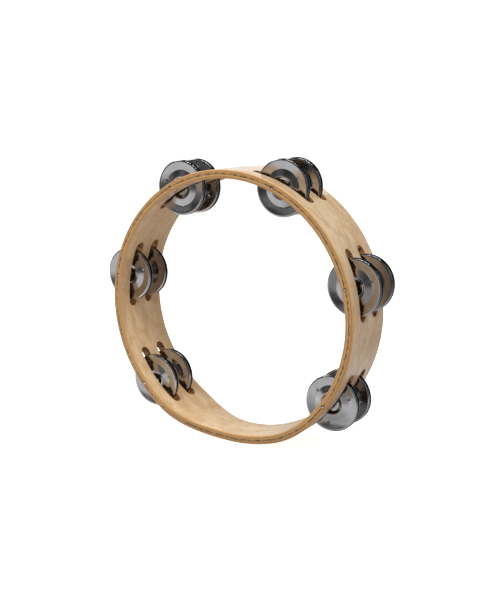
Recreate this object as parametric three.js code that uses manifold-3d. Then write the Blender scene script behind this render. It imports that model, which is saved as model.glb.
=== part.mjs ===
// A headless wooden tambourine: a bent two-ply shell with a scooped hand grip,
// six stations of two slots each, one steel pin per station and a pair of
// jingles in every slot.
//
// Millimetres. The shell's axis is Y with the front rim at -Y, +Z is up, and
// the origin is the middle of the wall at the middle of the hand grip.

import * as THREE from 'three';
import { mergeVertices } from 'three/addons/utils/BufferGeometryUtils.js';
import Module from 'manifold-3d';

const wasm = await Module();
wasm.setup();

// Shell
const SHELL_RADIUS = 100;
const SHELL_WIDTH = 50;
const WALL = 6;
const GLUE_LINE = 0.1;
const SHELL_SEGMENTS = 60;

// Hand grip: both rims dip towards each other here
const GRIP_SCOOP = 9.8;
const GRIP_FLAT_ANGLE = 4;
const GRIP_END_ANGLE = 38.5;

// Slots: seven equal pitches round the shell, with the grip in place of one
const STATION_PITCH = 360 / 7;
const SLOT_LENGTH = 50;
const SLOT_WIDTH = 8;
const SLOT_SPACING = 19;
const SLOT_END_SEGMENTS = 6;

// Pins
const PIN_RADIUS = 1.1;
const PIN_RECESS = 0.3;
const PIN_BACK_COVER = 5;
const PIN_HOLE_GAP = 0.25;
const PIN_SEGMENTS = 12;

// Jingles: pressed sheet discs with a cup round the hole, a groove and a turned-in rim
const JINGLE_RADIUS = 20;
const JINGLE_SHEET = 0.6;
const JINGLE_HOLE_RADIUS = 2.6;
const CUP_FLOOR_RADIUS = 6.2;
const CUP_MOUTH_RADIUS = 7.8;
const GROOVE_RADIUS = 13;
const GROOVE_DEPTH = 1.1;
const RIM_TURN_WIDTH = 1.3;
const RIM_TURN_DEPTH = 0.9;
const PAIR_GAP = 0.3;
const PAIR_WIDTH = 4.6;
const JINGLE_SEGMENTS = 16;
const HANG_GAP = 0.3;

// Worked out from the above
const PIN_CIRCLE = SHELL_RADIUS - WALL / 2;
const SHELL_CENTRE_Z = PIN_CIRCLE;
const HANG_DROP = JINGLE_HOLE_RADIUS - PIN_RADIUS - HANG_GAP;
const SLOT_ROWS = { front: -SLOT_SPACING / 2, back: SLOT_SPACING / 2 };

// Stations by their place seen from the front, in pitches from the grip
const STATIONS = {
  lower_right: 1,
  right: 2,
  upper_right: 3,
  upper_left: 4,
  left: 5,
  lower_left: 6,
};

const WOOD = { color: 0xcfa878, roughness: 0.35, metalness: 0 };
const INNER_WOOD = { color: 0xc99f6c, roughness: 0.4, metalness: 0 };
const PIN_STEEL = { color: 0xa9a9a6, roughness: 0.3, metalness: 1 };
const JINGLE_STEEL = { color: 0xc4c6c8, roughness: 0.12, metalness: 1 };

// Solids and meshes

function solidOf(geometry) {
  const bare = geometry.clone();
  bare.deleteAttribute('normal');
  bare.deleteAttribute('uv');
  const merged = mergeVertices(bare, 1e-3);
  return new wasm.Manifold(new wasm.Mesh({
    numProp: 3,
    vertProperties: new Float32Array(merged.attributes.position.array),
    triVerts: new Uint32Array(merged.index.array),
  }));
}

function geometryOf(solid) {
  const mesh = solid.getMesh();
  const geometry = new THREE.BufferGeometry();
  geometry.setAttribute('position', new THREE.BufferAttribute(mesh.vertProperties, 3));
  geometry.setIndex(new THREE.BufferAttribute(mesh.triVerts, 1));
  geometry.computeVertexNormals();
  return geometry;
}

function namedMesh(name, geometry, look) {
  const mesh = new THREE.Mesh(geometry, new THREE.MeshStandardMaterial(look));
  mesh.name = name;
  return mesh;
}

// Angle of a station about the Y axis, from +X towards +Z
function stationAngle(pitches) {
  return THREE.MathUtils.degToRad(-90 + pitches * STATION_PITCH);
}

// Pin axis of a station, measured from the shell's centre
function pinPoint(pitches) {
  const angle = stationAngle(pitches);
  return new THREE.Vector3(PIN_CIRCLE * Math.cos(angle), 0, PIN_CIRCLE * Math.sin(angle));
}

// Half the shell's width at an angle from the middle of the grip: a level
// stretch at the grip, then an S-curve up to the full width
function halfWidth(degreesFromGrip) {
  const run = GRIP_END_ANGLE - GRIP_FLAT_ANGLE;
  const along = (Math.abs(degreesFromGrip) - GRIP_FLAT_ANGLE) / run;
  const t = THREE.MathUtils.clamp(along, 0, 1);
  const scoop = GRIP_SCOOP * (1 + Math.cos(Math.PI * t)) / 2;
  return SHELL_WIDTH / 2 - scoop;
}

// Shell

function bentStrip(innerRadius, outerRadius) {
  const side = SHELL_WIDTH / 2;
  const profile = [
    new THREE.Vector2(innerRadius, -side),
    new THREE.Vector2(outerRadius, -side),
    new THREE.Vector2(outerRadius, side),
    new THREE.Vector2(innerRadius, side),
    new THREE.Vector2(innerRadius, -side),
  ];
  const halfFacet = Math.PI / SHELL_SEGMENTS;
  const strip = new THREE.LatheGeometry(profile, SHELL_SEGMENTS, halfFacet);
  const position = strip.attributes.position;
  for (let i = 0; i < position.count; i += 1) {
    const fromGrip = Math.atan2(position.getX(i), -position.getZ(i));
    const half = halfWidth(THREE.MathUtils.radToDeg(fromGrip));
    position.setY(i, Math.sign(position.getY(i)) * half);
  }
  return solidOf(strip);
}

function slotCutter(pitches, row) {
  const end = SLOT_WIDTH / 2;
  const straight = SLOT_LENGTH / 2 - end;
  const outline = new THREE.Shape();
  outline.moveTo(-straight, -end);
  outline.lineTo(straight, -end);
  outline.absarc(straight, 0, end, -Math.PI / 2, Math.PI / 2);
  outline.lineTo(-straight, end);
  outline.absarc(-straight, 0, end, Math.PI / 2, 3 * Math.PI / 2);
  const cutter = new THREE.ExtrudeGeometry(outline, {
    depth: 2 * WALL,
    bevelEnabled: false,
    curveSegments: SLOT_END_SEGMENTS,
  });
  cutter.translate(0, row, PIN_CIRCLE - WALL);
  cutter.rotateY(Math.PI / 2 - stationAngle(pitches));
  return solidOf(cutter);
}

function pinShape(radius, frontEnd, backEnd, pitches) {
  const length = backEnd - frontEnd;
  const shape = new THREE.CylinderGeometry(radius, radius, length, PIN_SEGMENTS);
  const at = pinPoint(pitches);
  shape.translate(at.x, frontEnd + length / 2, at.z);
  return shape;
}

const PIN_FRONT_END = -SHELL_WIDTH / 2 + PIN_RECESS;
const PIN_BACK_END = SHELL_WIDTH / 2 - PIN_BACK_COVER;

function pinHoleCutter(pitches) {
  const front = -SHELL_WIDTH / 2 - 1;
  const back = PIN_BACK_END + PIN_HOLE_GAP;
  return solidOf(pinShape(PIN_RADIUS + PIN_HOLE_GAP, front, back, pitches));
}

function ply(innerRadius, outerRadius) {
  let strip = bentStrip(innerRadius, outerRadius);
  for (const pitches of Object.values(STATIONS)) {
    for (const row of Object.values(SLOT_ROWS)) {
      strip = strip.subtract(slotCutter(pitches, row));
    }
    strip = strip.subtract(pinHoleCutter(pitches));
  }
  return geometryOf(strip);
}

// Jingles

// Closed section of the pair's front jingle, hole edge to rim and back. The
// slot's middle is at y = 0, the flange faces -Y and the cup sinks towards +Y.
function jingleSection() {
  const face = -PAIR_WIDTH / 2;
  const floor = -PAIR_GAP / 2 - JINGLE_SHEET;
  const turn = face + RIM_TURN_DEPTH;
  const rim = JINGLE_RADIUS;
  const bend = JINGLE_SHEET / 2;
  return [
    [JINGLE_HOLE_RADIUS, floor],
    [CUP_FLOOR_RADIUS, floor],
    [CUP_MOUTH_RADIUS, face],
    [GROOVE_RADIUS, face + GROOVE_DEPTH],
    [rim - RIM_TURN_WIDTH, face],
    [rim, turn],
    [rim, turn + JINGLE_SHEET],
    [rim - RIM_TURN_WIDTH - bend, face + JINGLE_SHEET],
    [GROOVE_RADIUS, face + GROOVE_DEPTH + JINGLE_SHEET],
    [CUP_MOUTH_RADIUS + bend, face + JINGLE_SHEET],
    [CUP_FLOOR_RADIUS + bend, floor + JINGLE_SHEET],
    [JINGLE_HOLE_RADIUS, floor + JINGLE_SHEET],
    [JINGLE_HOLE_RADIUS, floor],
  ];
}

function jingleGeometry(facesBack) {
  let section = jingleSection();
  if (facesBack) {
    section = section.map(([radius, y]) => [radius, -y]).reverse();
  }
  const points = section.map(([radius, y]) => new THREE.Vector2(radius, y));
  return new THREE.LatheGeometry(points, JINGLE_SEGMENTS);
}

// Assembly

const tambourine = new THREE.Group();
tambourine.position.z = SHELL_CENTRE_Z;

const glueRadius = SHELL_RADIUS - WALL / 2;
const outerPly = ply(glueRadius + GLUE_LINE / 2, SHELL_RADIUS);
const innerPly = ply(SHELL_RADIUS - WALL, glueRadius - GLUE_LINE / 2);
tambourine.add(namedMesh('outer_ply', outerPly, WOOD));
tambourine.add(namedMesh('inner_ply', innerPly, INNER_WOOD));

const frontJingle = jingleGeometry(false);
const backJingle = jingleGeometry(true);

for (const [station, pitches] of Object.entries(STATIONS)) {
  const pin = pinShape(PIN_RADIUS, PIN_FRONT_END, PIN_BACK_END, pitches);
  tambourine.add(namedMesh(`pin_${station}`, pin, PIN_STEEL));

  const at = pinPoint(pitches);
  for (const [row, y] of Object.entries(SLOT_ROWS)) {
    const pair = { a: frontJingle, b: backJingle };
    for (const [letter, geometry] of Object.entries(pair)) {
      const jingle = namedMesh(`jingle_${station}_${row}_${letter}`, geometry, JINGLE_STEEL);
      jingle.position.set(at.x, y, at.z - HANG_DROP);
      tambourine.add(jingle);
    }
  }
}

export default tambourine;
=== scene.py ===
"""A headless wooden tambourine: lacquered two-ply shell, pressed jingles, steel pins, pale studio."""

import math
import random

import bmesh
import bpy
from mathutils import Matrix, Vector
from mathutils.geometry import delaunay_2d_cdt


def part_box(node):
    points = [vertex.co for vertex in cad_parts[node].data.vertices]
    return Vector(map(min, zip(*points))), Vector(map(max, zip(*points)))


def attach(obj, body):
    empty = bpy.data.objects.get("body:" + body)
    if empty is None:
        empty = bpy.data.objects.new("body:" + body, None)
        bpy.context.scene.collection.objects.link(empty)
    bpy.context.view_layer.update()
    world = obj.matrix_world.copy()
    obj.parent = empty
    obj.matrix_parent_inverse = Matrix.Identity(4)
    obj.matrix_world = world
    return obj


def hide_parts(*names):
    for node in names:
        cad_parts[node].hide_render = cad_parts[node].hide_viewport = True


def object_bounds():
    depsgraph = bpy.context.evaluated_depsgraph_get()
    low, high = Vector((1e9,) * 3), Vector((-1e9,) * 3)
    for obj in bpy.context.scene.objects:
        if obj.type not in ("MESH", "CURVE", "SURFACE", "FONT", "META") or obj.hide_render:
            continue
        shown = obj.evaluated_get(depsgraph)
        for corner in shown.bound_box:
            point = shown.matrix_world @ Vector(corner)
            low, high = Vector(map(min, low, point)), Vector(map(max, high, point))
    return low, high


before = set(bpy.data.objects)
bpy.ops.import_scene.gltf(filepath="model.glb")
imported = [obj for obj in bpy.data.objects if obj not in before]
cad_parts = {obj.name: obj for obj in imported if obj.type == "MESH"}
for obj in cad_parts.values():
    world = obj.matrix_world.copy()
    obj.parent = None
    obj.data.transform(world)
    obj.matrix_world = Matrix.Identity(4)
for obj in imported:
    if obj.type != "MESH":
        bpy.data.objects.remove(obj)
CAD_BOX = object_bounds()

MM = 0.001


def distances_from_axis(node, centre):
    """Smallest and largest distance of a node's corners from the ring's axis."""
    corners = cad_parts[node].data.vertices
    found = [math.hypot(corner.co.x - centre.x, corner.co.z - centre.z) for corner in corners]
    return min(found), max(found)


# The shell's own sizes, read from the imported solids
outer_low, outer_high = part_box("outer_ply")
CENTRE = (outer_low + outer_high) / 2
HALF_WIDTH = (outer_high.y - outer_low.y) / 2
GLUE_OUT, RADIUS = distances_from_axis("outer_ply", CENTRE)
BORE, GLUE_IN = distances_from_axis("inner_ply", CENTRE)

STATIONS = ["lower_right", "right", "upper_right", "upper_left", "left", "lower_left"]
ROWS = ["front", "back"]

# The hand grip and the slots, as in the part
GRIP_SCOOP = 9.8 * MM
GRIP_FLAT_ANGLE = 4
GRIP_END_ANGLE = 38.5
SLOT_HALF_LENGTH = 25 * MM
SLOT_HALF_WIDTH = 4 * MM
PIN_HOLE_CLEARANCE = 0.25 * MM

# Edges
RIM_ROUND = 1.0 * MM
SLOT_ROUND = 0.3 * MM
GLUE_ROUND = 0.12 * MM
ROUND_STEPS = 4

# Points closer than this become one
SHELL_MERGE = 2e-6
METAL_MERGE = 1e-7
OUTLINE_MERGE = 1e-9


def middle(node):
    low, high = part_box(node)
    return (low + high) / 2


def station_angle(station):
    """Angle of a station round the Y axis, from +X towards +Z."""
    pin = middle(f"pin_{station}")
    return math.atan2(pin.z - CENTRE.z, pin.x - CENTRE.x)


def slot_middle(station, row):
    """Y of the middle of a slot, halfway between its two jingles."""
    return (middle(f"jingle_{station}_{row}_a").y + middle(f"jingle_{station}_{row}_b").y) / 2


SLOTS = [(station_angle(s), slot_middle(s, r)) for s in STATIONS for r in ROWS]


# Mesh helpers

def wrap(angle):
    """The same angle between minus and plus half a turn."""
    return (angle + math.pi) % (2 * math.pi) - math.pi


def even_turns(sides):
    """Angles of evenly spaced points on a circle."""
    return [2 * math.pi * k / sides for k in range(sides)]


def tube_faces(loops, sides, closed=False, flip=False):
    """Quads between neighbouring loops of points; closed joins the last loop to the first."""
    faces = []
    for loop in range(loops if closed else loops - 1):
        a, b = loop * sides, (loop + 1) % loops * sides
        for k in range(sides):
            n = (k + 1) % sides
            faces.append((a + n, a + k, b + k, b + n) if flip else (a + k, a + n, b + n, b + k))
    return faces


def new_object(name, verts, faces, materials, face_materials=None):
    mesh = bpy.data.meshes.new(name)
    mesh.from_pydata([tuple(v) for v in verts], [], faces)
    for material in materials:
        mesh.materials.append(material)
    if face_materials is not None:
        mesh.polygons.foreach_set("material_index", face_materials)
    mesh.update()
    obj = bpy.data.objects.new(name, mesh)
    bpy.context.scene.collection.objects.link(obj)
    return obj


def shade_smooth(obj, sharp_degrees):
    mesh = obj.data
    mesh.polygons.foreach_set("use_smooth", [True] * len(mesh.polygons))
    mesh.set_sharp_from_angle(angle=math.radians(sharp_degrees))
    mesh.update()


def merge_close(obj, distance):
    work = bmesh.new()
    work.from_mesh(obj.data)
    bmesh.ops.remove_doubles(work, verts=work.verts, dist=distance)
    bmesh.ops.recalc_face_normals(work, faces=work.faces)
    work.to_mesh(obj.data)
    work.free()
    obj.data.update()


# Shell

SEAM = -math.pi / 2
COLUMNS = 240
ROWS_ACROSS = 16
SLOT_END_POINTS = 14
SLOT_SIDE_POINTS = 24
SLOT_CLEAR = 1.1 * MM
# No slot reaches further than this from its own middle
SLOT_REACH = 0.5


def rim_half_width(angle):
    """Half the shell's width at an angle from +X towards +Z: it dips in an S-curve to the grip."""
    from_grip = abs((math.degrees(angle) + 90 + 180) % 360 - 180)
    along = (from_grip - GRIP_FLAT_ANGLE) / (GRIP_END_ANGLE - GRIP_FLAT_ANGLE)
    t = min(max(along, 0), 1)
    return HALF_WIDTH - GRIP_SCOOP * (1 + math.cos(math.pi * t)) / 2


def from_seam(angle):
    """The same angle between the seam and one turn past it."""
    return SEAM + (angle - SEAM) % (2 * math.pi)


def slot_outline(grow):
    """Points of a slot's outline as (along the shell, across it), grown on all sides."""
    radius = SLOT_HALF_WIDTH + grow
    straight = SLOT_HALF_LENGTH - SLOT_HALF_WIDTH
    points = []
    for side in (1, -1):
        for k in range(SLOT_END_POINTS):
            turn = -math.pi / 2 + math.pi * k / SLOT_END_POINTS
            points.append((side * (straight + radius * math.cos(turn)), side * radius * math.sin(turn)))
        for k in range(SLOT_SIDE_POINTS):
            share = k / SLOT_SIDE_POINTS
            points.append((side * straight * (1 - 2 * share), side * radius))
    return points


def slot_distance(radius, angle, y):
    """How far a point on a cylinder is outside the nearest slot's outline; negative inside."""
    straight = SLOT_HALF_LENGTH - SLOT_HALF_WIDTH
    nearest = RADIUS
    for at, y0 in SLOTS:
        turn = wrap(angle - at)
        if abs(turn) < SLOT_REACH:
            beyond = max(abs(radius * math.sin(turn)) - straight, 0)
            nearest = min(nearest, math.hypot(beyond, y - y0) - SLOT_HALF_WIDTH)
    return nearest


def place(radius, angle, y):
    """A point of the ring, where y is measured from the middle of the shell."""
    return Vector((CENTRE.x + radius * math.cos(angle), CENTRE.y + y, CENTRE.z + radius * math.sin(angle)))


def slot_loop(slot, radius, grow):
    """A slot's outline on a cylinder, as (angle, y). Its sides are cut square to the shell's middle."""
    at, y0 = slot
    return [(at + math.asin(along / radius), y0 + across) for along, across in slot_outline(grow)]


def wall_face(radius, rim_inset, slot_grow):
    """The triangles of one side of a ply, between the rims and round the slots."""

    def flat(angle, y):
        """A point unrolled, with the dip at the grip stretched out to the full width."""
        return Vector((angle * RADIUS, y / (rim_half_width(angle) - rim_inset) * HALF_WIDTH))

    points, edges = [], []
    for column in range(COLUMNS + 1):
        angle = SEAM + 2 * math.pi * column / COLUMNS
        half = rim_half_width(angle) - rim_inset
        for row in range(ROWS_ACROSS + 1):
            y = half * (2 * row / ROWS_ACROSS - 1)
            if slot_distance(radius, angle, y) > SLOT_CLEAR + slot_grow:
                points.append(flat(angle, y))
    for slot in SLOTS:
        first = len(points)
        loop = slot_loop(slot, radius, slot_grow)
        points.extend(flat(from_seam(angle), y) for angle, y in loop)
        edges.extend((first + k, first + (k + 1) % len(loop)) for k in range(len(loop)))
    corners, _, triangles, _, _, _ = delaunay_2d_cdt(points, edges, [], 0, OUTLINE_MERGE)

    verts, faces = [], []
    for corner in corners:
        angle = corner.x / RADIUS
        y = corner.y / HALF_WIDTH * (rim_half_width(angle) - rim_inset)
        verts.append(place(radius, angle, y))
    for triangle in triangles:
        angle = sum(corners[i].x for i in triangle) / 3 / RADIUS
        y = sum(verts[i].y for i in triangle) / 3 - CENTRE.y
        if slot_distance(radius, angle, y) >= slot_grow:
            faces.append(tuple(triangle))
    return verts, faces


def rounding(radius, inwards, size):
    """Steps of a rounded edge as (distance from the axis, inset), from the face to the wall."""
    steps = []
    for k in range(ROUND_STEPS + 1):
        turn = math.pi / 2 * k / ROUND_STEPS
        steps.append((radius + inwards * size * (1 - math.cos(turn)), size * (1 - math.sin(turn))))
    return steps


def ply(name, inner, outer, inner_round, outer_round, inner_slot_round, outer_slot_round, materials):
    """One bent strip with rounded rims and slots. Its materials are the face, the slot wall and the rim."""
    verts, faces, face_materials = [], [], []

    def add(new_verts, new_faces, material):
        base = len(verts)
        verts.extend(new_verts)
        faces.extend(tuple(base + i for i in face) for face in new_faces)
        face_materials.extend([material] * len(new_faces))

    def add_strips(loops, material):
        add([p for loop in loops for p in loop], tube_faces(len(loops), len(loops[0])), material)

    add(*wall_face(outer, outer_round, outer_slot_round), 0)
    add(*wall_face(inner, inner_round, inner_slot_round), 0)

    rim_levels = rounding(outer, -1, outer_round) + rounding(inner, 1, inner_round)[::-1]
    angles = [SEAM + turn for turn in even_turns(COLUMNS)]
    for side in (-1, 1):
        loops = []
        for radius, inset in rim_levels:
            loops.append([place(radius, a, side * (rim_half_width(a) - inset)) for a in angles])
        add_strips(loops, 2)

    slot_levels = rounding(outer, -1, outer_slot_round) + rounding(inner, 1, inner_slot_round)[::-1]
    for slot in SLOTS:
        loops = [[place(r, a, y) for a, y in slot_loop(slot, r, grow)] for r, grow in slot_levels]
        add_strips(loops, 1)

    obj = new_object(name, verts, faces, materials, face_materials)
    merge_close(obj, SHELL_MERGE)
    return obj


def pin_hole_cutter(materials):
    """Six round cutters, one along each pin, that leave a dark ring round its end."""
    sides, overshoot = 32, 2 * MM
    ends = [tuple(range(sides)), tuple(sides + k for k in reversed(range(sides)))]
    verts, faces = [], []
    for station in STATIONS:
        low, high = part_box(f"pin_{station}")
        at = (low + high) / 2
        radius = (high.z - low.z) / 2 + PIN_HOLE_CLEARANCE
        base = len(verts)
        for y in (low.y - overshoot, high.y + PIN_HOLE_CLEARANCE):
            for turn in even_turns(sides):
                verts.append((at.x + radius * math.cos(turn), y, at.z + radius * math.sin(turn)))
        faces += [tuple(base + i for i in face) for face in ends + tube_faces(2, sides, flip=True)]
    return new_object("pin_hole_cutter", verts, faces, materials, [1] * len(faces))


def cut(obj, cutter):
    """Takes the cutter's shape out of an object's mesh."""
    modifier = obj.modifiers.new("pin_holes", "BOOLEAN")
    modifier.operation = "DIFFERENCE"
    modifier.solver = "EXACT"
    modifier.object = cutter
    graph = bpy.context.evaluated_depsgraph_get()
    result = bpy.data.meshes.new_from_object(obj.evaluated_get(graph))
    obj.modifiers.clear()
    obj.data = result


# Pins

PIN_DOME = 0.28 * MM
PIN_SOFT = 0.3 * MM
PIN_SIDES = 40


def build_pin(station, material):
    """A steel pin with a domed head in the front rim and a flat inner end."""
    node = f"pin_{station}"
    low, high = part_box(node)
    at = (low + high) / 2
    radius = (high.z - low.z) / 2
    rounds = [math.radians(a) for a in (0, 12, 24, 36, 48, 60, 70, 80, 90)]
    shoulder = low.y + PIN_SOFT
    profile = [(radius * math.sin(a), shoulder - (PIN_DOME + PIN_SOFT) * math.cos(a)) for a in rounds]
    profile += [(radius, high.y - PIN_SOFT), (radius - PIN_SOFT, high.y), (0, high.y)]
    verts, faces = lathe([(r, y - at.y) for r, y in profile], PIN_SIDES)
    obj = new_object(f"steel_pin_{station}", verts, faces, [material])
    obj.location = at
    merge_close(obj, METAL_MERGE)
    shade_smooth(obj, 45)
    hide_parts(node)
    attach(obj, "shell")


def lathe(profile, sides):
    """A surface of revolution about Y through the origin, from a profile of (radius, y)."""
    verts = []
    for r, y in profile:
        for turn in even_turns(sides):
            verts.append((r * math.cos(turn), y, r * math.sin(turn)))
    return verts, tube_faces(len(profile), sides)


# Jingles

SHEET = 0.6 * MM
BACK_LIP = 0.12 * MM
HOLE_RADIUS = 2.6 * MM
CUP_RADIUS = 8.0 * MM
CUP_DEPTH = 1.55 * MM
CUP_FLOOR_DISH = 0.12 * MM
GROOVE_RADIUS = 13.0 * MM
GROOVE_DEPTH = 1.1 * MM
TURN_RADIUS = 1.3 * MM
TURN_DEPTH = 0.9 * MM
DIMPLES = 3
DIMPLE_CIRCLE = 13.7 * MM
DIMPLE_RADIUS = 1.25 * MM
DIMPLE_DEPTH = 0.55 * MM
DIMPLE_TURN = 25
WARP = (0.06, 0.22)

# Columns of points round a jingle, in degrees: even ones, and closer ones across a dimple
COLUMN_PITCH = 4
DIMPLE_COLUMNS = [0.9 * k for k in range(-7, 8)]


def smooth_step(value, low, high):
    t = min(max((value - low) / (high - low), 0), 1)
    return t * t * (3 - 2 * t)


def jingle_depth(r, rim):
    """How far the pressed sheet lies behind its flange at a distance from the hole's middle."""
    cup = CUP_DEPTH * (1 - smooth_step(r, CUP_RADIUS - 2.8 * MM, CUP_RADIUS + 0.4 * MM))
    dish = CUP_FLOOR_DISH * (1 - smooth_step(r, HOLE_RADIUS, CUP_RADIUS - 2.6 * MM))
    start = rim - TURN_RADIUS
    if r < GROOVE_RADIUS:
        groove = GROOVE_DEPTH * max((r - CUP_RADIUS) / (GROOVE_RADIUS - CUP_RADIUS), 0)
    else:
        groove = GROOVE_DEPTH * (1 - min((r - GROOVE_RADIUS) / (start - GROOVE_RADIUS), 1) ** 1.25)
    turn = 0
    if r > start:
        share = min((r - start) / TURN_RADIUS, 1)
        turn = TURN_DEPTH * (1 - math.sqrt(max(1 - share * share, 0)))
    return cup - dish + groove + turn


def jingle_rings(rim):
    """Distances of the rings of points, closer together where the sheet bends."""
    marks = [
        (HOLE_RADIUS, CUP_RADIUS - 3.0 * MM, 4),
        (CUP_RADIUS - 3.0 * MM, CUP_RADIUS + 0.7 * MM, 12),
        (CUP_RADIUS + 0.7 * MM, GROOVE_RADIUS - 0.7 * MM, 5),
        (GROOVE_RADIUS - 0.7 * MM, DIMPLE_CIRCLE + 1.4 * MM, 12),
        (DIMPLE_CIRCLE + 1.4 * MM, rim - TURN_RADIUS - 0.4 * MM, 5),
        (rim - TURN_RADIUS - 0.4 * MM, rim - TURN_RADIUS * 0.5, 4),
    ]
    rings = [low + (high - low) * k / count for low, high, count in marks for k in range(count)]
    rings += [rim - TURN_RADIUS * (1 - math.sin(math.radians(a))) for a in (30, 42, 54, 64, 74, 82, 88)]
    return rings


def jingle_columns(dimples):
    """Directions of the columns of points, even all round and closer together across each dimple."""
    reach = math.radians(DIMPLE_COLUMNS[-1] + COLUMN_PITCH * 0.4)
    even = [math.radians(angle) for angle in range(0, 360, COLUMN_PITCH)]
    columns = [turn for turn in even if all(abs(wrap(turn - dimple)) > reach for dimple in dimples)]
    for dimple in dimples:
        columns += [(dimple + math.radians(step)) % (2 * math.pi) for step in DIMPLE_COLUMNS]
    return sorted(columns)


def build_jingle(station, row, letter, material, chance):
    """One pressed disc, slightly warped, with its dimples turned its own way."""
    node = f"jingle_{station}_{row}_{letter}"
    low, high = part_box(node)
    at = (low + high) / 2
    rim = (high.x - low.x) / 2
    faces_back = letter == "b"
    flange_y = high.y if faces_back else low.y
    sink = -1 if faces_back else 1
    spin = math.radians(DIMPLE_TURN) + chance.uniform(-0.2, 0.2)
    # Only the front discs' dimples show in the photo, so the others are turned at random
    if faces_back or row == "back":
        spin = chance.uniform(0, 2 * math.pi)
    dimples = [spin + turn + chance.uniform(-0.05, 0.05) for turn in even_turns(DIMPLES)]
    warp, warp_turn = chance.uniform(*WARP) * MM, chance.uniform(0, 2 * math.pi)

    def depth_at(r, turn):
        depth = jingle_depth(r, rim)
        for dimple in dimples:
            gap = math.hypot(
                r * math.cos(turn) - DIMPLE_CIRCLE * math.cos(dimple),
                r * math.sin(turn) - DIMPLE_CIRCLE * math.sin(dimple),
            )
            depth += DIMPLE_DEPTH * (1 - smooth_step(gap, DIMPLE_RADIUS * 0.15, DIMPLE_RADIUS))
        wave = (r / rim) ** 2 * warp * (1 + math.cos(2 * (turn - warp_turn)))
        return depth + wave

    rings, columns = jingle_rings(rim), jingle_columns(dimples)
    front_and_back = [(r, 0) for r in rings] + [(min(r, rim - BACK_LIP), SHEET) for r in reversed(rings)]
    verts = []
    for r, below in front_and_back:
        for turn in columns:
            y = flange_y + sink * (depth_at(r, turn) + below) - at.y
            verts.append((r * math.cos(turn), y, r * math.sin(turn)))
    faces = tube_faces(len(front_and_back), len(columns), closed=True)
    obj = new_object(f"pressed_{node}", verts, faces, [material])
    seed = obj.data.attributes.new("seed", "FLOAT", "POINT")
    seed.data.foreach_set("value", [chance.uniform(0, 40)] * len(verts))
    obj.location = at
    merge_close(obj, METAL_MERGE)
    shade_smooth(obj, 50)
    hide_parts(node)
    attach(obj, node)


# Materials

class Nodes:
    """A node material under construction, with short calls for the nodes it is made of."""

    def __init__(self, name):
        self.material = bpy.data.materials.new(name)
        self.material.use_nodes = True
        self.tree = self.material.node_tree
        self.tree.nodes.clear()
        self.shader = self.tree.nodes.new("ShaderNodeBsdfPrincipled")
        output = self.tree.nodes.new("ShaderNodeOutputMaterial")
        self.link(self.shader.outputs[0], output.inputs["Surface"])

    def link(self, source, target):
        self.tree.links.new(source, target)

    def set(self, **values):
        for name, value in values.items():
            self.shader.inputs[name.replace("_", " ")].default_value = value

    def feed(self, socket, value):
        if isinstance(value, bpy.types.NodeSocket):
            self.link(value, socket)
        else:
            socket.default_value = value

    def position(self):
        return self.tree.nodes.new("ShaderNodeTexCoord").outputs["Object"]

    def stretched(self, source, scale, offset=(0, 0, 0)):
        node = self.tree.nodes.new("ShaderNodeMapping")
        self.link(source, node.inputs["Vector"])
        node.inputs["Scale"].default_value = scale
        node.inputs["Location"].default_value = offset
        return node.outputs[0]

    def noise(self, vector, detail, roughness, distortion=0.0):
        """Noise whose size comes from how far its vector was stretched."""
        node = self.tree.nodes.new("ShaderNodeTexNoise")
        self.link(vector, node.inputs["Vector"])
        node.inputs["Scale"].default_value = 1.0
        node.inputs["Detail"].default_value = detail
        node.inputs["Roughness"].default_value = roughness
        node.inputs["Distortion"].default_value = distortion
        return node.outputs["Fac"]

    def math(self, operation, a, b=0.0):
        node = self.tree.nodes.new("ShaderNodeMath")
        node.operation = operation
        self.feed(node.inputs[0], a)
        self.feed(node.inputs[1], b)
        return node.outputs[0]

    def ramp(self, factor, low, high, to_low=0.0, to_high=1.0):
        node = self.tree.nodes.new("ShaderNodeMapRange")
        node.interpolation_type = "SMOOTHSTEP"
        self.feed(node.inputs["Value"], factor)
        node.inputs["From Min"].default_value = low
        node.inputs["From Max"].default_value = high
        node.inputs["To Min"].default_value = to_low
        node.inputs["To Max"].default_value = to_high
        return node.outputs[0]

    def mix(self, factor, a, b):
        node = self.tree.nodes.new("ShaderNodeMix")
        node.data_type = "RGBA"
        self.feed(node.inputs[0], factor)
        self.feed(node.inputs[6], a if isinstance(a, bpy.types.NodeSocket) else (*a, 1))
        self.feed(node.inputs[7], b if isinstance(b, bpy.types.NodeSocket) else (*b, 1))
        return node.outputs[2]

    def separate(self, vector):
        node = self.tree.nodes.new("ShaderNodeSeparateXYZ")
        self.link(vector, node.inputs[0])
        return node.outputs

    def hypot(self, a, b):
        squares = self.math("ADD", self.math("MULTIPLY", a, a), self.math("MULTIPLY", b, b))
        return self.math("SQRT", squares)

    def bump(self, height, distance):
        node = self.tree.nodes.new("ShaderNodeBump")
        node.inputs["Strength"].default_value = 1.0
        node.inputs["Distance"].default_value = distance
        self.link(height, node.inputs["Height"])
        self.link(node.outputs[0], self.shader.inputs["Normal"])

    def distance_from_axis(self, centre):
        """Distance from the ring's axis, in metres."""
        x, _, z = self.separate(self.position())
        return self.hypot(self.math("SUBTRACT", x, centre.x), self.math("SUBTRACT", z, centre.z))

    def only_glow(self):
        """Leaves nothing but the emission, whose strength is set or linked apart."""
        self.set(Base_Color=(0, 0, 0, 1), Roughness=1.0, Specular_IOR_Level=0.0)
        self.set(Emission_Color=(1, 1, 1, 1))


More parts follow.
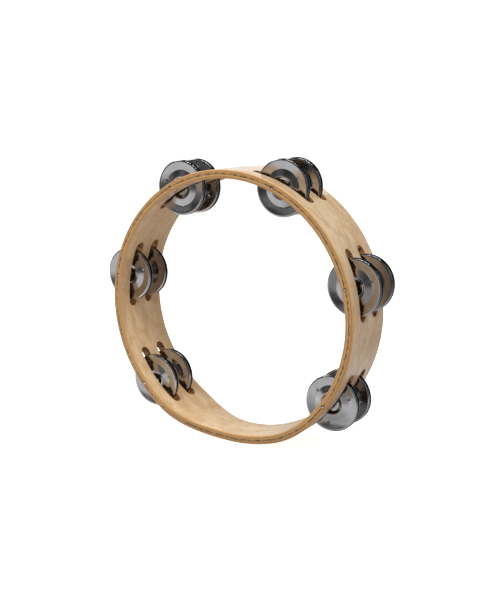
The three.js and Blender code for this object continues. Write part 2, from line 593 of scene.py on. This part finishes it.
def wood_face(name, pale, warm, dark, coat):
    """Lacquered long grain that runs round the shell, with short pores along it."""
    n = Nodes(name)
    here = n.position()
    # Along the shell a grain line changes slowly, across it fast
    broad = n.noise(n.stretched(here, (11, 95, 11)), 5.0, 0.55, 0.8)
    fine = n.noise(n.stretched(here, (26, 900, 26), (3, 1, 7)), 4.0, 0.6)
    cloud = n.noise(n.stretched(here, (30, 48, 30), (11, 5, 2)), 5.0, 0.68, 2.2)
    pores = n.noise(n.stretched(here, (190, 1500, 190), (5, 9, 1)), 2.0, 0.5)
    flecks = n.ramp(pores, 0.60, 0.68)
    tone = n.mix(n.ramp(broad, 0.3, 0.7, 0.0, 0.5), pale, warm)
    tone = n.mix(n.ramp(fine, 0.4, 0.75, 0.0, 0.3), tone, dark)
    tone = n.mix(n.ramp(cloud, 0.44, 0.6, 0.0, 0.85), tone, warm)
    tone = n.mix(n.math("MULTIPLY", flecks, 0.6), tone, dark)
    n.link(tone, n.shader.inputs["Base Color"])
    n.link(n.ramp(fine, 0.3, 0.7, 0.38, 0.52), n.shader.inputs["Roughness"])
    n.set(Coat_Weight=coat, Coat_Roughness=0.05, Coat_IOR=1.55, IOR=1.5)
    height = n.math("SUBTRACT", n.math("MULTIPLY", fine, 0.3), flecks)
    n.bump(height, 0.025 * MM)
    return n.material


# Bands across the rim: place and width as shares of the wall from the bore outwards, then strength
GRAIN_BANDS = ((0.19, 0.07, 0.85), (0.84, 0.09, 0.9), (0.30, 0.03, 0.4), (0.72, 0.04, 0.45))
# The same for the glue lines, each with a strength for its broken black dots as well
GLUE_LINES = ((0.5, 0.10, 0.55, 1.0), (0.63, 0.06, 0.4, 0.75))
BAND_WOBBLE = 0.5 * MM


def wood_rim(name):
    """The shell's edge: long-grain and end-grain bands of the plies, with dark glue lines between them."""
    n = Nodes(name)
    here = n.position()
    wobble = n.noise(n.stretched(here, (60, 60, 60)), 3.0, 0.6)
    radius = n.distance_from_axis(CENTRE)
    radius = n.math("ADD", radius, n.math("MULTIPLY", n.math("SUBTRACT", wobble, 0.5), BAND_WOBBLE))
    fibre = n.noise(n.stretched(here, (700, 80, 700), (2, 4, 8)), 3.0, 0.6)
    pale, warm = (0.51, 0.288, 0.108), (0.30, 0.12, 0.027)
    glue, black = (0.10, 0.045, 0.015), (0.012, 0.007, 0.004)
    tone = n.mix(n.ramp(fibre, 0.35, 0.7, 0.0, 0.35), pale, warm)
    wall = RADIUS - BORE
    for share, width, weight in GRAIN_BANDS:
        off = n.math("ABSOLUTE", n.math("SUBTRACT", radius, BORE + share * wall))
        band = n.ramp(off, width * wall * 0.35, width * wall * 0.75, weight, 0.0)
        tone = n.mix(band, tone, warm)
    broken = n.noise(n.stretched(here, (330, 330, 330), (9, 3, 5)), 4.0, 0.65)
    dots = n.ramp(broken, 0.46, 0.52)
    for share, width, line_weight, dot_weight in GLUE_LINES:
        off = n.math("ABSOLUTE", n.math("SUBTRACT", radius, BORE + share * wall))
        line = n.ramp(off, width * wall * 0.35, width * wall * 0.7)
        line = n.math("SUBTRACT", 1.0, line)
        tone = n.mix(n.math("MULTIPLY", line, line_weight), tone, glue)
        tone = n.mix(n.math("MULTIPLY", n.math("MULTIPLY", line, dots), dot_weight), tone, black)
    n.link(tone, n.shader.inputs["Base Color"])
    n.link(n.ramp(fibre, 0.3, 0.7, 0.35, 0.5), n.shader.inputs["Roughness"])
    n.set(Coat_Weight=0.25, Coat_Roughness=0.15, Coat_IOR=1.5, IOR=1.5)
    n.bump(fibre, 0.05 * MM)
    return n.material


def slot_wall(name):
    """Routed slot walls, scorched brown by the cutter."""
    n = Nodes(name)
    here = n.position()
    burn = n.noise(n.stretched(here, (160, 60, 160)), 4.0, 0.6)
    fibre = n.noise(n.stretched(here, (500, 500, 500), (4, 4, 1)), 3.0, 0.6)
    scorched, plain, charred = (0.26, 0.095, 0.022), (0.55, 0.27, 0.085), (0.03, 0.014, 0.008)
    tone = n.mix(n.ramp(burn, 0.35, 0.65), scorched, plain)
    tone = n.mix(n.ramp(fibre, 0.48, 0.62, 0.0, 0.9), tone, charred)
    n.link(tone, n.shader.inputs["Base Color"])
    n.link(n.ramp(fibre, 0.3, 0.7, 0.6, 0.8), n.shader.inputs["Roughness"])
    n.set(Coat_Weight=0.15, Coat_Roughness=0.3)
    n.bump(fibre, 0.08 * MM)
    return n.material


def plated_steel(name):
    """Bright plating on pressed sheet: turning marks round the hole, fine scratches and a dented rim."""
    n = Nodes(name)
    here = n.position()
    seed = n.tree.nodes.new("ShaderNodeAttribute")
    seed.attribute_name = "seed"
    shift = n.tree.nodes.new("ShaderNodeVectorMath")
    shift.operation = "ADD"
    n.link(here, shift.inputs[0])
    n.link(seed.outputs["Fac"], shift.inputs[1])
    own_place = shift.outputs[0]
    x, _, z = n.separate(here)
    from_hole = n.hypot(x, z)
    rings = n.tree.nodes.new("ShaderNodeCombineXYZ")
    n.link(n.math("MULTIPLY", from_hole, 2600.0), rings.inputs[0])
    n.link(seed.outputs["Fac"], rings.inputs[1])
    turned = n.noise(rings.outputs[0], 3.0, 0.6)
    smear = n.noise(n.stretched(own_place, (130, 130, 130)), 4.0, 0.6, 0.5)
    scratch = n.noise(n.stretched(own_place, (90, 90, 2600)), 2.0, 0.6, 0.3)
    inside_rim = n.ramp(from_hole, 17.2 * MM, 18.6 * MM, 1.0, 0.0)
    scratches = n.math("MULTIPLY", n.ramp(scratch, 0.68, 0.72), inside_rim)
    bright, dull, round_hole_dark = (0.48, 0.48, 0.49), (0.44, 0.44, 0.45), (0.20, 0.18, 0.16)
    tone = n.mix(n.ramp(smear, 0.35, 0.7), bright, dull)
    # Darker colour round the hole: strongest at its edge, fading out by 4.6 mm from the middle
    darker_round_hole = n.ramp(from_hole, 2.8 * MM, 4.6 * MM, 0.55, 0.0)
    tone = n.mix(darker_round_hole, tone, round_hole_dark)
    n.link(tone, n.shader.inputs["Base Color"])
    rough = n.math("ADD", n.ramp(smear, 0.35, 0.75, 0.10, 0.16), n.math("MULTIPLY", scratches, 0.15))
    n.link(rough, n.shader.inputs["Roughness"])
    tangent = n.tree.nodes.new("ShaderNodeTangent")
    tangent.direction_type = "RADIAL"
    tangent.axis = "Y"
    n.link(tangent.outputs[0], n.shader.inputs["Tangent"])
    n.set(Metallic=1.0, Anisotropic=0.65)
    dents = n.noise(n.stretched(own_place, (520, 520, 520), (6, 6, 6)), 2.0, 0.5)
    dents = n.math("MULTIPLY", dents, n.ramp(from_hole, 17.0 * MM, 18.6 * MM, 0.0, 6.0))
    height = n.math("SUBTRACT", n.math("MULTIPLY", turned, 0.5), scratches)
    n.bump(n.math("ADD", height, dents), 0.006 * MM)
    return n.material


def pin_steel(name):
    """Cut ends and drawn sides of a steel nail."""
    n = Nodes(name)
    here = n.position()
    drawn = n.noise(n.stretched(here, (2500, 60, 2500)), 3.0, 0.6)
    cut_marks = n.noise(n.stretched(here, (900, 900, 5000), (2, 2, 2)), 3.0, 0.6)
    tone = n.mix(n.ramp(drawn, 0.3, 0.7), (0.80, 0.79, 0.77), (0.62, 0.60, 0.58))
    n.link(tone, n.shader.inputs["Base Color"])
    n.link(n.ramp(cut_marks, 0.3, 0.7, 0.14, 0.28), n.shader.inputs["Roughness"])
    n.set(Metallic=1.0)
    n.bump(cut_marks, 0.01 * MM)
    return n.material


def studio_paper(name):
    """Matt pale paper with the faintest mottle."""
    n = Nodes(name)
    mottle = n.noise(n.stretched(n.position(), (3, 3, 3)), 3.0, 0.5)
    n.link(n.mix(mottle, (0.92, 0.92, 0.92), (0.88, 0.88, 0.88)), n.shader.inputs["Base Color"])
    n.set(Roughness=0.9, Emission_Color=(1, 1, 1, 1), Emission_Strength=PAPER_GLOW)
    return n.material


# Camera, light and floor

CAMERA_AZIMUTH = 32.26
CAMERA_ELEVATION = 10.93
CAMERA_DISTANCE = 0.6947
CAMERA_AIM = (0.0061, 0.0, 0.0045)
CAMERA_ROLL = 2.25
CAMERA_LENS = 57.2

SWEEP_HUB = 0.02
SWEEP_FLAT = 2.2
SWEEP_BEND = 1.0
SWEEP_RISE = 3.0
SWEEP_SIDES = 96
SWEEP_STEPS = 16
UNDER_OBJECT = 0.5 * MM
PAPER_GLOW = 0.75

CARD_SIDES = 64
CARD_HUB = 0.01
CARD_REACH = 4.0
CARD_RISE = 3.5
CARD_GLOW = 0.85
CARD_FAR_GLOW = 0.4
CARD_DIM = 0.05
CARD_LIFT = 0.2 * MM
BACK_GLOW = 0.9
BACK_DISTANCE = 2.2
BACK_SPAN = (-0.7, 1.33)
BACK_RISE = 1.6

FLOOR_FILL = 0.82
SKY_FILL = 0.3
# The heights on a unit sphere between which the floor's fill turns into the sky's
FILL_CHANGE = (-0.3, 0.1)
LIGHT_COLOUR = (0.9, 0.97, 1.0)
FILL_COLOUR = (1.0, 0.95, 0.88, 1)

# Name, azimuth, elevation, distance, width and height, power, whether gloss sees it
SOFTBOXES = [
    ("top_softbox", 10, 74, 1.3, (1.1, 0.7), 10.5, False),
    ("top_strip", 10, 70, 1.2, (0.8, 0.1), 2.6, True),
    ("upper_right_softbox", 60, 45, 1.4, (0.8, 0.8), 8, False),
    ("left_softbox", -60, 30, 1.4, (0.5, 1.0), 5, False),
    ("upper_left_strip", -72, 48, 1.4, (0.5, 0.4), 3.0, True),
    ("right_strip", 95, 32, 1.5, (0.06, 0.7), 0.5, True),
    ("wall_light", CAMERA_AZIMUTH, 62, 1.9, (2.4, 1.0), 14, False),
]


def direction(azimuth, elevation):
    """Unit vector towards an azimuth, where 0 is -Y and 90 is +X, and an elevation, in degrees."""
    a, e = math.radians(azimuth), math.radians(elevation)
    return Vector((math.sin(a) * math.cos(e), -math.cos(a) * math.cos(e), math.sin(e)))


def level_circle(radius, z, sides):
    """Points of a level circle round the object."""
    x, y = CENTRE.x, CENTRE.y
    return [(x + radius * math.cos(turn), y + radius * math.sin(turn), z) for turn in even_turns(sides)]


def add_camera():
    """The camera, placed as solved for the photo."""
    data = bpy.data.cameras.new("camera")
    data.lens = CAMERA_LENS
    data.sensor_width = 36
    camera = bpy.data.objects.new("camera", data)
    bpy.context.scene.collection.objects.link(camera)
    camera.location = CENTRE + direction(CAMERA_AZIMUTH, CAMERA_ELEVATION) * CAMERA_DISTANCE
    look = CENTRE + Vector(CAMERA_AIM) - camera.location
    level = look.to_track_quat("-Z", "Y").to_matrix().to_4x4()
    roll = Matrix.Rotation(math.radians(-CAMERA_ROLL), 4, "Z")
    camera.matrix_world = Matrix.Translation(camera.location) @ level @ roll
    bpy.context.scene.camera = camera


def add_softbox(name, azimuth, elevation, distance, size, power, seen_in_gloss):
    """An area light that faces the object from a direction and a distance."""
    data = bpy.data.lights.new(name, "AREA")
    data.shape = "RECTANGLE"
    data.size, data.size_y = size
    data.energy = power
    data.color = LIGHT_COLOUR
    light = bpy.data.objects.new(name, data)
    bpy.context.scene.collection.objects.link(light)
    light.visible_glossy = seen_in_gloss
    light.location = CENTRE + direction(azimuth, elevation) * distance
    light.rotation_mode = "QUATERNION"
    light.rotation_quaternion = (CENTRE - light.location).to_track_quat("-Z", "Y")


def add_studio():
    """A pale sweep all round the object: a flat round floor that curves up into a wall."""
    floor_z = CAD_BOX[0].z - UNDER_OBJECT
    # Radius and height, from the middle outwards
    profile = [(SWEEP_HUB, 0.0), (0.5, 0.0), (SWEEP_FLAT, 0.0)]
    for step in range(1, SWEEP_STEPS + 1):
        turn = math.pi / 2 * step / SWEEP_STEPS
        profile.append((SWEEP_FLAT + SWEEP_BEND * math.sin(turn), SWEEP_BEND * (1 - math.cos(turn))))
    profile.append((SWEEP_FLAT + SWEEP_BEND, SWEEP_RISE))
    verts = [point for out, up in profile for point in level_circle(out, floor_z + up, SWEEP_SIDES)]
    faces = [tuple(range(SWEEP_SIDES))] + tube_faces(len(profile), SWEEP_SIDES, flip=True)
    sweep = new_object("studio_sweep", verts, faces, [studio_paper("studio_paper")])
    shade_smooth(sweep, 60)
    sweep.visible_glossy = False
    sweep.visible_diffuse = False
    sweep.visible_shadow = False


def floor_card_material(name):
    """What gloss sees of the floor: dark under the ring, grey in front and behind, dim far off."""
    n = Nodes(name)
    x, y, _ = n.separate(n.position())
    away = n.math("ABSOLUTE", n.math("SUBTRACT", y, CENTRE.y))
    in_front = n.ramp(y, CENTRE.y - 0.03, CENTRE.y + 0.03, 1.0, 0.0)
    sideways = n.math("SUBTRACT", x, CENTRE.x)
    brighter_left = n.ramp(sideways, -0.2, 0.0, 2.2, 1.0)
    dimmer_right = n.ramp(sideways, 0.05, 0.35, 1.0, 0.15)
    across = n.math("MULTIPLY", brighter_left, dimmer_right)
    behind = n.math("MULTIPLY", n.math("SUBTRACT", 1.0, in_front), 0.75)
    under_ring = n.ramp(away, 0.02, 0.1, 0.5, 1.0)
    glow = n.math("MULTIPLY", under_ring, n.ramp(away, 0.1, 0.2, CARD_GLOW, CARD_FAR_GLOW))
    glow = n.math("MULTIPLY", glow, n.ramp(away, 0.7, 1.3, 1.0, 0.15))
    glow = n.math("MULTIPLY", glow, n.math("ADD", n.math("MULTIPLY", across, in_front), behind))
    n.link(n.math("MAXIMUM", glow, CARD_DIM), n.shader.inputs["Emission Strength"])
    n.only_glow()
    return n.material


def dim_room(name):
    """The unlit room round the studio: dark, with a few vague paler things in it."""
    n = Nodes(name)
    things = n.noise(n.stretched(n.position(), (0.9, 0.9, 1.3), (3, 8, 2)), 2.0, 0.5)
    n.link(n.ramp(things, 0.4, 0.65, 0.05, 0.26), n.shader.inputs["Emission Strength"])
    n.only_glow()
    return n.material


def glowing_card(name):
    """An evenly pale wall."""
    n = Nodes(name)
    n.only_glow()
    n.set(Emission_Strength=BACK_GLOW)
    return n.material


def only_in_gloss(card):
    """Keeps a stage card to reflections, where every view of the object finds it in the same place."""
    card.visible_camera = False
    card.visible_diffuse = False
    card.visible_shadow = False
    card.visible_transmission = False


def add_reflection_cards():
    """What gloss sees round the object: a floor, a dim round room and a pale wall behind."""
    floor_z = CAD_BOX[0].z + CARD_LIFT
    floor = [point for out in (CARD_HUB, CARD_REACH) for point in level_circle(out, floor_z, CARD_SIDES)]
    faces = tube_faces(2, CARD_SIDES, flip=True)
    only_in_gloss(new_object("floor_card", floor, faces, [floor_card_material("floor_card")]))

    room = [
        point
        for up in (0.0, CARD_RISE)
        for point in level_circle(CARD_REACH * 0.99, floor_z + up, CARD_SIDES)
    ]
    only_in_gloss(new_object("room_card", room, tube_faces(2, CARD_SIDES), [dim_room("room_card")]))

    away = -direction(CAMERA_AZIMUTH, 0)
    side = Vector((away.y, -away.x, 0))
    foot = Vector((CENTRE.x, CENTRE.y, floor_z)) + away * BACK_DISTANCE
    left, right = (foot + side * across for across in BACK_SPAN)
    rise = Vector((0, 0, BACK_RISE))
    wall = [left, right, right + rise, left + rise]
    only_in_gloss(new_object("back_card", wall, [(0, 1, 2, 3)], [glowing_card("back_card")]))


def add_fill_light():
    """The world's even light. Its lower half stands in for what the paper would bounce up."""
    world = bpy.data.worlds.new("studio")
    bpy.context.scene.world = world
    world.use_nodes = True
    nodes, links = world.node_tree.nodes, world.node_tree.links
    background = nodes["Background"]
    background.inputs["Color"].default_value = FILL_COLOUR
    heading = nodes.new("ShaderNodeTexCoord")
    parts = nodes.new("ShaderNodeSeparateXYZ")
    fill = nodes.new("ShaderNodeMapRange")
    links.new(heading.outputs["Generated"], parts.inputs[0])
    links.new(parts.outputs[2], fill.inputs["Value"])
    fill.inputs["From Min"].default_value, fill.inputs["From Max"].default_value = FILL_CHANGE
    fill.inputs["To Min"].default_value = FLOOR_FILL
    fill.inputs["To Max"].default_value = SKY_FILL
    links.new(fill.outputs[0], background.inputs["Strength"])
    world.cycles_visibility.glossy = False


def light_scene():
    add_fill_light()
    for softbox in SOFTBOXES:
        add_softbox(*softbox)
    bpy.context.scene.view_settings.view_transform = "Standard"
    bpy.context.scene.cycles.use_denoising = True


# The object

# Pale, warm and dark wood, and how thick the lacquer looks
OUTER_WOOD = (0.64, 0.47, 0.30), (0.49, 0.30, 0.155), (0.25, 0.13, 0.06), 0.8
INNER_WOOD = (0.69, 0.485, 0.285), (0.54, 0.325, 0.16), (0.26, 0.135, 0.058), 0.45
JINGLE_SEED = 7


def build_shell():
    outer_face, inner_face = wood_face("outer_wood", *OUTER_WOOD), wood_face("inner_wood", *INNER_WOOD)
    walls, rim = slot_wall("slot_wall"), wood_rim("rim_wood")
    cutter = pin_hole_cutter([outer_face, walls])
    outer = ply(
        "shell_outer_ply", GLUE_OUT, RADIUS, GLUE_ROUND, RIM_ROUND, GLUE_ROUND, SLOT_ROUND,
        [outer_face, walls, rim],
    )
    inner = ply(
        "shell_inner_ply", BORE, GLUE_IN, RIM_ROUND, GLUE_ROUND, SLOT_ROUND, GLUE_ROUND,
        [inner_face, walls, rim],
    )
    for obj, node, slot_name in ((outer, "outer_ply", "outer_wood"), (inner, "inner_ply", "inner_wood")):
        cut(obj, cutter)
        shade_smooth(obj, 40)
        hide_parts(node)
        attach(obj, "shell")
    bpy.data.objects.remove(cutter)


def build_metalwork():
    plating, steel = plated_steel("jingle_plating"), pin_steel("pin_steel")
    chance = random.Random(JINGLE_SEED)
    for station in STATIONS:
        build_pin(station, steel)
        for row in ROWS:
            for letter in "ab":
                build_jingle(station, row, letter, plating, chance)


add_camera()
add_studio()
add_reflection_cards()
light_scene()
build_shell()
build_metalwork()
